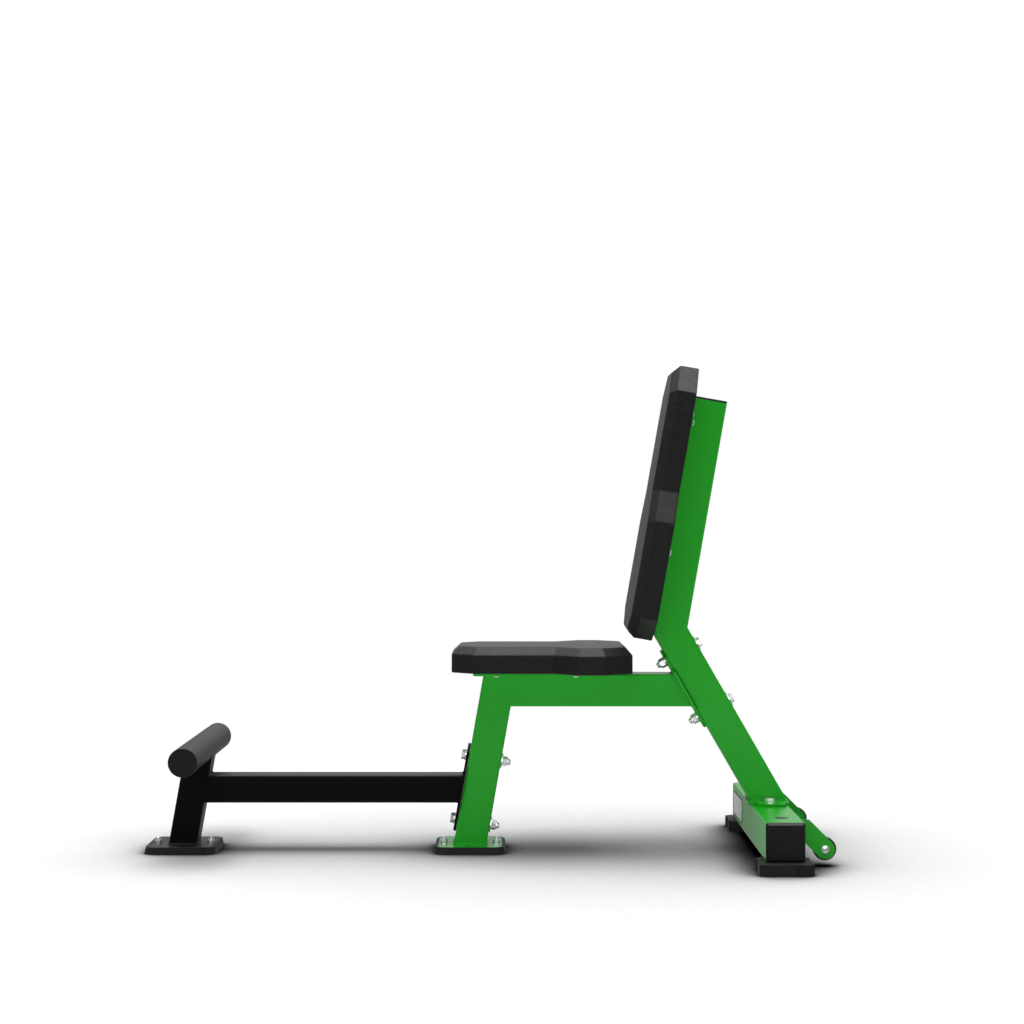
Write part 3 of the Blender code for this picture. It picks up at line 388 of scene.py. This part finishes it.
# Bolts, nuts and washers: steel turned and rolled, with bright zinc plating that has a slightly
# mottled, bluish shine. The two joints and the saddle have M12 bolts, and the rest are M8.
zinc, shader, place = new_finish("zinc_plate", Metallic=0.8)
mottle_size, scratch_size, scratch_depth = 0.0024, 0.0009, 0.00003
gap_reach, edge_radius = 0.004, 0.0004
mottle = place.specks(mottle_size, 3.0)
bright = mottle.between(0.3, 0.7).colours((0.84, 0.84, 0.86), (0.95, 0.95, 0.96))
painted_shade_colour = (0.10, 0.10, 0.11)
own_piece = {"samples": 8, "only_local": True}
# Painted shade: an ambient-occlusion node darkens the base colour in the zinc's own crevices,
# round nuts, washers and threads.
painted_shade_mask = place.node("ShaderNodeAmbientOcclusion", own_piece, {"Distance": gap_reach}, 1)
soft_edge = place.node("ShaderNodeBevel", {"samples": 4}, {"Radius": edge_radius})
feed(
    shader,
    Base_Color=painted_shade_mask.between(0.05, 0.75).colours(painted_shade_colour, bright),
    Roughness=0.22 + mottle * 0.16,
    Normal=place.specks(scratch_size).bump(scratch_depth, 0.5, soft_edge),
)
for name in frame["nodes"]:
    if "bolt" in name or "nut" in name:
        dress(zinc, name)


def thread(node, direction, size, length):
    """A rolled thread round the bare end of a bolt: a ridge in a helix, short of the tip."""
    radius, pitch = size
    tip_depth, sunk, bare_tip, steps = 0.0002, 0.0002, 0.0014, 16
    foot_half, crest_half, crest_out = pitch * 0.42, pitch * 0.06, pitch * 0.1
    axis = Vector(direction).normalized()
    places = [v.co for v in frame["nodes"][node].data.vertices]
    end = max(p.dot(axis) for p in places)
    tip = [p for p in places if p.dot(axis) > end - tip_depth]
    centre = sum(tip, Vector()) / len(tip)
    centre += axis * (end - centre.dot(axis))
    turns = int(length / pitch)
    inner, outer = radius - sunk, radius + crest_out
    bm = bmesh.new()
    profile = [
        bm.verts.new(corner) for corner in (
            (inner, 0, -foot_half), (outer, 0, -crest_half),
            (outer, 0, crest_half), (inner, 0, foot_half),
        )
    ]
    bmesh.ops.spin(
        bm, geom=[bm.faces.new(profile)], cent=(0, 0, 0), axis=(0, 0, 1),
        dvec=(0, 0, pitch / steps), angle=2 * math.pi * turns, steps=steps * turns,
    )
    bmesh.ops.recalc_face_normals(bm, faces=bm.faces)
    start = Matrix.Translation(centre - axis * (turns * pitch + bare_tip))
    turn = up.rotation_difference(axis).to_matrix().to_4x4()
    bmesh.ops.transform(bm, matrix=start @ turn, verts=bm.verts)
    name = node + "_thread"
    put(name, as_mesh(bm, name), zinc)


# The radius and the pitch of both threads, and the lengths that stand bare.
m12_thread = (0.006, 0.00175)
m8_thread = (0.004, 0.00125)
bare_end = 0.0036
axle_bare_end = 0.0013
for row in ("upper", "lower"):
    thread(f"footrest_joint_bolt_{row}", across_lean, m12_thread, bare_end)
    thread(f"spine_joint_bolt_{row}", -across_spine, m12_thread, bare_end)
for foot in ("front", "main"):
    for end in ("front", "rear"):
        thread(f"{foot}_foot_bolt_{end}", up, m8_thread, bare_end)
thread("axle_bolt_left", (0, 1, 0), m8_thread, axle_bare_end)
thread("axle_bolt_right", (0, -1, 0), m8_thread, axle_bare_end)


# Rubber feet: black moulded rubber under both posts and at the ends of the crossmember.
# It is dull, with a fine matt grain from the mould and a little dust in it.
rubber, shader, place = new_finish("black_rubber", IOR=1.5)
clean, dusty = (0.0105, 0.0105, 0.011), (0.0165, 0.016, 0.0155)
dust_size, grain_size, grain_depth = 0.02, 0.0007, 0.00008
feed(
    shader,
    Base_Color=place.specks(dust_size, 4.0).between(0.45, 0.75).colours(clean, dusty),
    Roughness=0.55 + place.specks(0.004) * 0.15,
    Normal=place.specks(grain_size, 3.0, 0.65).bump(grain_depth, 0.6),
)
dress(rubber, "front_foot_pad", "main_foot_pad", "rear_foot_left", "rear_foot_right")


# End caps: black moulded plastic with a fine spark-eroded grain, pressed into the ends of the
# foot bar, the spine and the crossmember. Two round plugs of the same plastic close the access
# holes in the crossmember's top, over the studs of the rear feet.
plastic, shader, place = new_finish("black_plastic", IOR=1.48)
spark_size, spark_depth = 0.0008, 0.00005
feed(
    shader,
    Base_Color=place.specks(0.03, 2.0).colours((0.009, 0.009, 0.009), (0.012, 0.012, 0.012)),
    Roughness=0.38 + place.specks(0.0012, 2.0) * 0.12,
    Normal=place.specks(spark_size, 2.0, 0.6).bump(spark_depth, 0.6),
)
dress(
    plastic, "foot_bar_cap_left", "foot_bar_cap_right", "spine_top_cap",
    "crossmember_cap_left", "crossmember_cap_right",
)


def soften(bm, edges, width, segments, clamp=False):
    """Rounds off edges of a piece."""
    bmesh.ops.bevel(
        bm, geom=edges, offset=width, segments=segments, profile=0.5, affect="EDGES",
        material=-1, clamp_overlap=clamp,
    )


plug_radius = 0.0146
plug_thick = 0.0030
plug_edge = 0.0006
hole_x, hole_y, plug_z = 0.61305, 0.238, 0.1026
for side_name, side in (("left", -1), ("right", 1)):
    bm = bmesh.new()
    bmesh.ops.create_cone(
        bm, cap_ends=True, segments=40, radius1=plug_radius, radius2=plug_radius,
        depth=plug_thick,
    )
    bmesh.ops.translate(bm, vec=(hole_x, side * hole_y, plug_z), verts=bm.verts)
    top_rim = [e for e in bm.edges if all(v.co.z > plug_z for v in e.verts)]
    soften(bm, top_rim, plug_edge, segments=3)
    name = "hole_plug_" + side_name
    put(name, as_mesh(bm, name), plastic)


# Transport wheels: solid black rubber, moulded with a faint ribbing and dulled by the floor.
# Each stands between two ears behind the crossmember and turns on its own axle bolt.
wheel_rubber, shader, place = new_finish("wheel_rubber", IOR=1.5)
axle_x, axle_z = 0.70595, 0.0363
rib_count, rib_depth, grit_size = 60, 0.0004, 0.0008
x, z = (place.node("ShaderNodeSeparateXYZ", {}, {0: place}, axis) for axis in (0, 2))
around = (z - axle_z).math("ARCTAN2", x - axle_x)
ribs = (around * rib_count).math("SINE").between(-0.4, 0.4)
feed(
    shader,
    Base_Color=place.specks(0.006, 3.0).colours((0.012, 0.012, 0.012), (0.022, 0.022, 0.021)),
    Roughness=0.5 + place.specks(0.002) * 0.2,
    Normal=(ribs + place.specks(grit_size, 3.0) * 0.3).bump(rib_depth, 0.6),
)
dress(wheel_rubber, "wheel_left", "wheel_right")


# Boards: 15 mm plywood, cut to each pad's outline and let into its underside. The face grain
# runs along the pad, and the brackets are bolted to the board.
plywood, shader, place = new_finish("plywood", IOR=1.45)
late_wood, early_wood = (0.50, 0.33, 0.18), (0.66, 0.48, 0.29)
grain_width, grain_depth = 0.005, 0.0002
along_pad = {"Vector": place, "Scale": (0.06, 1.0, 0.06)}
grain = place.node("ShaderNodeMapping", {}, along_pad).specks(grain_width, 5.0, 0.6)
feed(
    shader,
    Base_Color=grain.between(0.3, 0.7).colours(late_wood, early_wood),
    Roughness=0.62 + grain * 0.2,
    Normal=grain.bump(grain_depth, 0.5),
)
dress(plywood, "seat_board", "back_board")


# Seat and back pads: firm foam cut to a tapered outline with a wide bevel all round, covered
# in tight black vinyl that is folded under and stapled to the board. The foam pushes the
# faces out a little, and the vinyl has a fine leather grain.
vinyl, shader, place = new_finish("black_vinyl", IOR=1.5)
cells = {"Vector": place, "Scale": 620.0}
pebbles = place.node("ShaderNodeTexVoronoi", {"feature": "SMOOTH_F1"}, cells)
drawn = place.node("ShaderNodeMapping", {}, {"Vector": place, "Scale": (0.5, 0.5, 1.15)})
waves = {"Vector": drawn, "Scale": 190.0, "Detail": 2.0, "Distortion": 1.2}
wave = drawn.node("ShaderNodeTexNoise", {}, waves)
creases = (wave - 0.5).math("ABSOLUTE").between(0.0, 0.13)
deep_black, dull_black = (0.0108, 0.0108, 0.0112), (0.0136, 0.0136, 0.014)
pebble_depth, crease_depth = 0.0003, 0.0006
feed(
    shader,
    Base_Color=place.specks(0.09, 3.0).colours(deep_black, dull_black),
    Roughness=0.42 + place.specks(0.01, 3.0) * 0.08 - creases * 0.05,
    Normal=pebbles.bump(pebble_depth, 0.3, creases.bump(crease_depth, 0.38)),
)


def pad_outline(stations):
    """The corners of a pad's outline, from the (distance, width) pairs along it."""
    half = [Vector((distance, width / 2, 0)) for distance, width in stations]
    return [Vector((v.x, -v.y, 0)) for v in half] + half[::-1]


def sides_of(outline):
    """The straight sides of an outline, as pairs of corners."""
    return zip(outline, outline[1:] + outline[:1])


def depth_inside(outline, point):
    """How far a point is from the nearest side of an outline, seen from above."""
    nearest = 1.0
    flat = Vector((point.x, point.y, 0))
    for start, end in sides_of(outline):
        along = (flat - start).dot(end - start) / (end - start).length_squared
        nearest = min(nearest, (start.lerp(end, min(1, max(0, along))) - flat).length)
    return nearest


def drawn_in(bm, face, thickness):
    """Draws a flat face in from its outline, and leaves a band of even width round it."""
    bm.normal_update()
    bmesh.ops.inset_region(
        bm, faces=[face], thickness=thickness, use_even_offset=True, use_boundary=True,
    )


def flat_inside(bm, outline, margin):
    """A flat face inside an outline, this far from it."""
    face = bm.faces.new([bm.verts.new(v) for v in outline])
    drawn_in(bm, face, margin)
    bmesh.ops.delete(bm, geom=[f for f in bm.faces if f is not face], context="FACES")
    return face


pad_wall = 0.0395
pad_slope_in = 0.018
pad_slope_up = 0.0165
pad_edge = 0.002
foam_shrink = 0.0008
board_pocket = 0.0057
pocket_taper = 0.0002
pocket_slack = 0.0005
board_thick = 0.0153
cloth_step = 0.006
cloth_frames = 20
air_pressure = 4
puff = 0.0018
held_rim = 0.003
freed_over = 0.02


def swell(mesh, outline):
    """Pushes a pad's cover out by a run of cloth with air inside, scaled down to firm foam."""
    cover = bpy.data.objects.new("cover", mesh)
    bpy.context.scene.collection.objects.link(cover)
    cloth = cover.modifiers.new("puff", "CLOTH")
    cloth.settings.use_pressure = True
    cloth.settings.uniform_pressure_force = air_pressure
    cloth.settings.effector_weights.gravity = 0
    for step in range(1, cloth_frames + 1):
        bpy.context.scene.frame_set(step)
    puffed = cover.evaluated_get(bpy.context.evaluated_depsgraph_get()).data
    shifts = [went.co - rest.co for went, rest in zip(puffed.vertices, mesh.vertices)]
    bpy.data.objects.remove(cover)
    bpy.context.scene.frame_set(1)
    most = max(shift.length for shift in shifts)
    for v, shift in zip(mesh.vertices, shifts):
        low_down = v.co.z < board_thick + pocket_slack
        in_pocket = low_down and depth_inside(outline, v.co) > board_pocket / 2
        free = 0 if in_pocket else min(1, max(0, (v.co.z - held_rim) / freed_over))
        v.co += shift * (free * puff / most)


def cushion(name, node, outline, stands):
    """A pad over an outline, with a pocket for its board, puffed up and put in place."""
    bm = bmesh.new()
    base = flat_inside(bm, outline, foam_shrink)
    grown = bmesh.ops.extrude_face_region(bm, geom=[base])["geom"]
    top = next(f for f in grown if isinstance(f, bmesh.types.BMFace))
    bmesh.ops.translate(bm, vec=(0, 0, pad_wall), verts=top.verts)
    drawn_in(bm, top, pad_slope_in)
    bmesh.ops.translate(bm, vec=(0, 0, pad_slope_up), verts=top.verts)
    bmesh.ops.recalc_face_normals(bm, faces=bm.faces)
    soften(bm, bm.edges[:], pad_edge, segments=3, clamp=True)
    lowest = [f for f in bm.faces if f.calc_center_median().z < pad_edge / 10]
    base = max(lowest, key=lambda f: f.calc_area())
    drawn_in(bm, base, board_pocket - foam_shrink - pad_edge)
    drawn_in(bm, base, pocket_taper)
    bmesh.ops.translate(bm, vec=(0, 0, board_thick), verts=base.verts)
    bmesh.ops.recalc_face_normals(bm, faces=bm.faces)
    for axis in range(3):
        low, high = (pick(v.co[axis] for v in bm.verts) for pick in (min, max))
        count = max(2, round((high - low) / cloth_step))
        normal = Vector([float(i == axis) for i in range(3)])
        for i in range(1, count):
            cut = normal * (low + (high - low) * i / count)
            geometry = bm.verts[:] + bm.edges[:] + bm.faces[:]
            bmesh.ops.bisect_plane(bm, geom=geometry, plane_co=cut, plane_no=normal)
    mesh = as_mesh(bm, name)
    swell(mesh, outline)
    mesh.transform(stands)
    for face in mesh.polygons:
        face.use_smooth = True
    pad = put(name, mesh, vinyl)
    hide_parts(node)


seat_outline = pad_outline([
    (0, 0.140), (0.050, 0.225), (0.218, 0.225), (0.270, 0.313), (0.327, 0.313), (0.387, 0.220),
])
back_outline = pad_outline([
    (0, 0.156), (0.0464, 0.286), (0.2534, 0.286), (0.3214, 0.230), (0.5361, 0.230),
    (0.5935, 0.120),
])
seat_place = Matrix.Translation((-0.07095, 0, 0.3896))
back_turn = Matrix.Rotation(math.radians(-80), 4, "Y")
back_place = Matrix.Translation((0.35774, 0, 0.45680)) @ back_turn
cushion("seat_pad", "seat_cushion", seat_outline, seat_place)
cushion("back_pad", "back_cushion", back_outline, back_place)

fold_start = 0.003
fold_width = 0.028
fold_thick = 0.00022
fold_clear = 0.00002


def vinyl_fold(name, outline, stands):
    """The vinyl drawn round the edge and laid flat on the board, in a band of even width."""
    bm = bmesh.new()
    base = flat_inside(bm, outline, fold_start)
    drawn_in(bm, base, fold_width)
    bmesh.ops.delete(bm, geom=[base], context="FACES_ONLY")
    grown = bmesh.ops.extrude_face_region(bm, geom=bm.faces[:])["geom"]
    lower = [v for v in grown if isinstance(v, bmesh.types.BMVert)]
    bmesh.ops.translate(bm, vec=(0, 0, -fold_thick), verts=lower)
    bmesh.ops.translate(bm, vec=(0, 0, -fold_clear), verts=bm.verts)
    bmesh.ops.recalc_face_normals(bm, faces=bm.faces)
    bmesh.ops.transform(bm, matrix=stands, verts=bm.verts)
    put(name, as_mesh(bm, name), vinyl)


vinyl_fold("seat_vinyl_fold", seat_outline, seat_place)
vinyl_fold("back_vinyl_fold", back_outline, back_place)

staple_spacing = 0.032
staple_inset = 0.019
staple_crown = (0.0105, 0.0011, 0.0006)
staple_below = 0.0005
staple_edge = 0.00025


def staples(name, outline, stands, clear):
    """Wire staples through the fold, spaced evenly, where no bracket covers the board."""
    bm = bmesh.new()
    for start, end in sides_of(outline):
        along = (end - start).normalized()
        inward = Vector((-along.y, along.x, 0)) * staple_inset
        turn = Matrix.Rotation(math.atan2(along.y, along.x), 4, "Z")
        count = max(1, round((end - start).length / staple_spacing))
        for i in range(count):
            place = start.lerp(end, (i + 0.5) / count) + inward
            if any(low_x < place.x < high_x for low_x, high_x in clear):
                continue
            place.z -= staple_below
            crown = bmesh.ops.create_cube(bm, size=1.0)["verts"]
            bmesh.ops.scale(bm, vec=staple_crown, verts=crown)
            bmesh.ops.transform(bm, matrix=Matrix.Translation(place) @ turn, verts=crown)
    outer = [e for e in bm.edges if all(v.co.z < -staple_below for v in e.verts)]
    soften(bm, outer, staple_edge, segments=2)
    bmesh.ops.transform(bm, matrix=stands, verts=bm.verts)
    put(name, as_mesh(bm, name), zinc)


seat_bracket_reach = [(0.040, 0.324)]
back_bracket_reaches = [(0.160, 0.225), (0.442, 0.507)]
staples("seat_staples", seat_outline, seat_place, seat_bracket_reach)
staples("back_staples", back_outline, back_place, back_bracket_reaches)


# Label plate: a thin brushed aluminium plate with rounded corners on a black backing, stuck on
# the crossmember's front face. It is bare.
label, shader, place = new_finish("bare_label")
along_label = {"Vector": place, "Scale": (1.0, 0.05, 1.0)}
streak_width, streak_depth = 0.0006, 0.00002
streaks = place.node("ShaderNodeMapping", {}, along_label).specks(streak_width, 3.0)
feed(
    shader,
    Base_Color=streaks.colours((0.80, 0.81, 0.82), (0.88, 0.88, 0.89)),
    Roughness=0.3 + streaks * 0.15,
    Normal=streaks.bump(streak_depth, 0.4),
)
label_edge, shader, place = new_finish("label_edge", IOR=1.45)
feed(
    shader,
    Base_Color=place.specks(0.01).colours((0.010, 0.010, 0.010), (0.014, 0.014, 0.014)),
    Roughness=0.4 + place.specks(0.002) * 0.1,
)
label_y, label_z = 0.193, 0.0635


def rounded_plate(name, size, corner, x, finish):
    """A thin plate with round corners that stands against the crossmember's front face."""
    thick = size[0]
    bm = bmesh.new()
    bmesh.ops.create_cube(bm, size=1.0)
    bmesh.ops.scale(bm, vec=size, verts=bm.verts)
    through = [e for e in bm.edges if abs(e.verts[0].co.x - e.verts[1].co.x) > thick / 2]
    soften(bm, through, corner, segments=6)
    front = [e for e in bm.edges if all(v.co.x < 0 for v in e.verts)]
    soften(bm, front, thick / 3, segments=2)
    bmesh.ops.translate(bm, vec=(x, label_y, label_z), verts=bm.verts)
    put(name, as_mesh(bm, name), finish)


rounded_plate("label_backing", (0.0008, 0.162, 0.053), 0.009, 0.57265, label_edge)
rounded_plate("label_face", (0.0006, 0.156, 0.047), 0.007, 0.57210, label)


# Floor: a wide white floor under the bench, with a painted shadow: its colour darkens where the
# bench stands over it. It goes over into the white surround at a distance, and doesn't show in
# glossy faces.
bm = bmesh.new()
bmesh.ops.create_grid(bm, x_segments=1, y_segments=1, size=30.0)
studio_floor = bpy.data.objects.new("studio_floor", as_mesh(bm, "studio_floor"))
bpy.context.scene.collection.objects.link(studio_floor)
white, shader, place = new_finish("studio_white", Roughness=0.9, Specular_IOR_Level=0.0)
wide_reach, near_reach = {"Distance": 1.1}, {"Distance": 0.09}
wide = place.node("ShaderNodeAmbientOcclusion", {"samples": 24}, wide_reach, 1)
near = place.node("ShaderNodeAmbientOcclusion", {"samples": 12}, near_reach, 1)
darkest, wide_curve, near_curve = 0.02, 2.3, 1.9
in_dark, in_open = (0.0, 0.0, 0.0), (0.3, 0.3, 0.3)
fade_start, fade_end = 1.1, 2.6
# Painted shadow: the floor's colour darkens with ambient occlusion, both widely round the bench
# and close to it.
painted_shadow = (darkest + (1 - darkest) * wide ** wide_curve) * near ** near_curve
feed(shader, Base_Color=painted_shadow.colours(in_dark, in_open))
bench_middle = {0: place, 1: (0.06, 0.0, 0.0)}
far = place.node("ShaderNodeVectorMath", {"operation": "DISTANCE"}, bench_middle, 1)
lit = Shade(place.tree, shader.outputs[0])
glow = place.node("ShaderNodeEmission", {}, {})
faded = far.between(fade_start, fade_end)
blend = place.node("ShaderNodeMixShader", {}, {0: faded, 1: lit, 2: glow})
feed(place.tree.nodes["Material Output"], Surface=blend)
studio_floor.data.materials.append(white)
studio_floor.visible_glossy = False


# Lamps: one wide sun over the bench and another over the floor alone, a footlight that fills
# the near side of the bench, and a large screen in front that lights only the fasteners.
def lamp(name, kind, receivers, unseen, place=(0, 0, 0), tilt=0, **settings):
    """A lamp for the receivers, or for all pieces, which shows to none of the unseen rays."""
    light = bpy.data.lights.new(name, kind)
    for setting, value in settings.items():
        setattr(light, setting, value)
    made = bpy.data.objects.new(name, light)
    made.location = place
    made.rotation_euler = (math.radians(tilt), 0, 0)
    for rays in unseen:
        setattr(made, "visible_" + rays, False)
    made.light_linking.receiver_collection = receivers
    bpy.context.scene.collection.objects.link(made)


floor_only = bpy.data.collections.new("floor_only")
floor_only.objects.link(studio_floor)
not_the_floor = bpy.data.collections.new("not_the_floor")
not_the_floor.objects.link(studio_floor)
not_the_floor.collection_objects[0].light_linking.link_state = "EXCLUDE"
fasteners = bpy.data.collections.new("fasteners")
for piece in bpy.context.scene.objects:
    if piece.type == "MESH" and zinc.name in piece.data.materials:
        fasteners.objects.link(piece)
lamp("overhead_softbox", "SUN", None, ["glossy"], energy=2.0, angle=math.radians(45))
lamp("overhead_on_floor", "SUN", floor_only, ["glossy"], energy=9.2, angle=math.radians(52))
lamp(
    "footlight", "AREA", not_the_floor, ["glossy", "camera"], place=(-0.3, -1.2, 0.05),
    tilt=90, shape="RECTANGLE", size=2.6, size_y=0.3, energy=6.3,
)
lamp(
    "front_screen", "AREA", fasteners, ["camera"], place=(0.0, -3.0, 1.1),
    tilt=75, shape="RECTANGLE", size=3.0, size_y=1.6, energy=50.0,
)


# Surround: plain white to the camera and dim to the diffuse light. What glossy faces mirror of
# it is bright above and behind the bench, paler below, and dark on the photographer's side.
world = bpy.data.worlds.new("studio")
bpy.context.scene.world = world
world.use_nodes = True
tree = world.node_tree
direction = Shade(tree, None).node("ShaderNodeTexCoord", {}, {}, "Generated")
side, depth, height = (
    direction.node("ShaderNodeSeparateXYZ", {}, {0: direction}, axis) for axis in range(3)
)
room_light = 0.08
dark_side = 0.01
far_wall = 0.40
skyline_gain = 0.41
ceiling = 3.0
ground = 0.35
left_loss, right_loss = 0.45, 0.4
left_of_rear = (0 - side).between(0.05, 0.35) * height.between(-0.08, 0.02)
right_of_rear = side.between(0.1, 0.6)
sides_lost = (1 - right_loss * right_of_rear) * (1 - left_loss * left_of_rear)
behind = depth.between(0.0, 0.7) * sides_lost
above = height.between(0.57, 0.95)
below = (0 - height).between(0.3, 0.7)
skyline = height.between(0.06, 0.16) * (1 - height.between(0.3, 0.7))
wall_light = behind * (far_wall + skyline_gain * skyline)
mirrored_light = dark_side + wall_light + above * (1 - behind) * ceiling + below * ground
seen = direction.node("ShaderNodeLightPath", {}, {}, "Is Camera Ray")
diffused = direction.node("ShaderNodeLightPath", {}, {}, "Is Diffuse Ray")
level = seen + (1 - seen) * (diffused * room_light + (1 - diffused) * mirrored_light)
backdrop = tree.nodes["Background"]
backdrop.inputs["Color"].default_value = (1, 1, 1, 1)
feed(backdrop, Strength=level)


# Camera: straight from the bench's left side, 733 mm above the floor and 4.35 m away, with a
# long lens, as the photograph was taken. The colours are kept as they come.
camera = bpy.data.cameras.new("camera")
camera.sensor_width = 36.0
camera.lens = 70.3125
eye = bpy.data.objects.new("camera", camera)
eye.location = (0.05925, -4.350, 0.733)
eye.rotation_euler = (math.radians(90), 0, 0)
bpy.context.scene.collection.objects.link(eye)
bpy.context.scene.camera = eye
bpy.context.scene.view_settings.view_transform = "Standard"
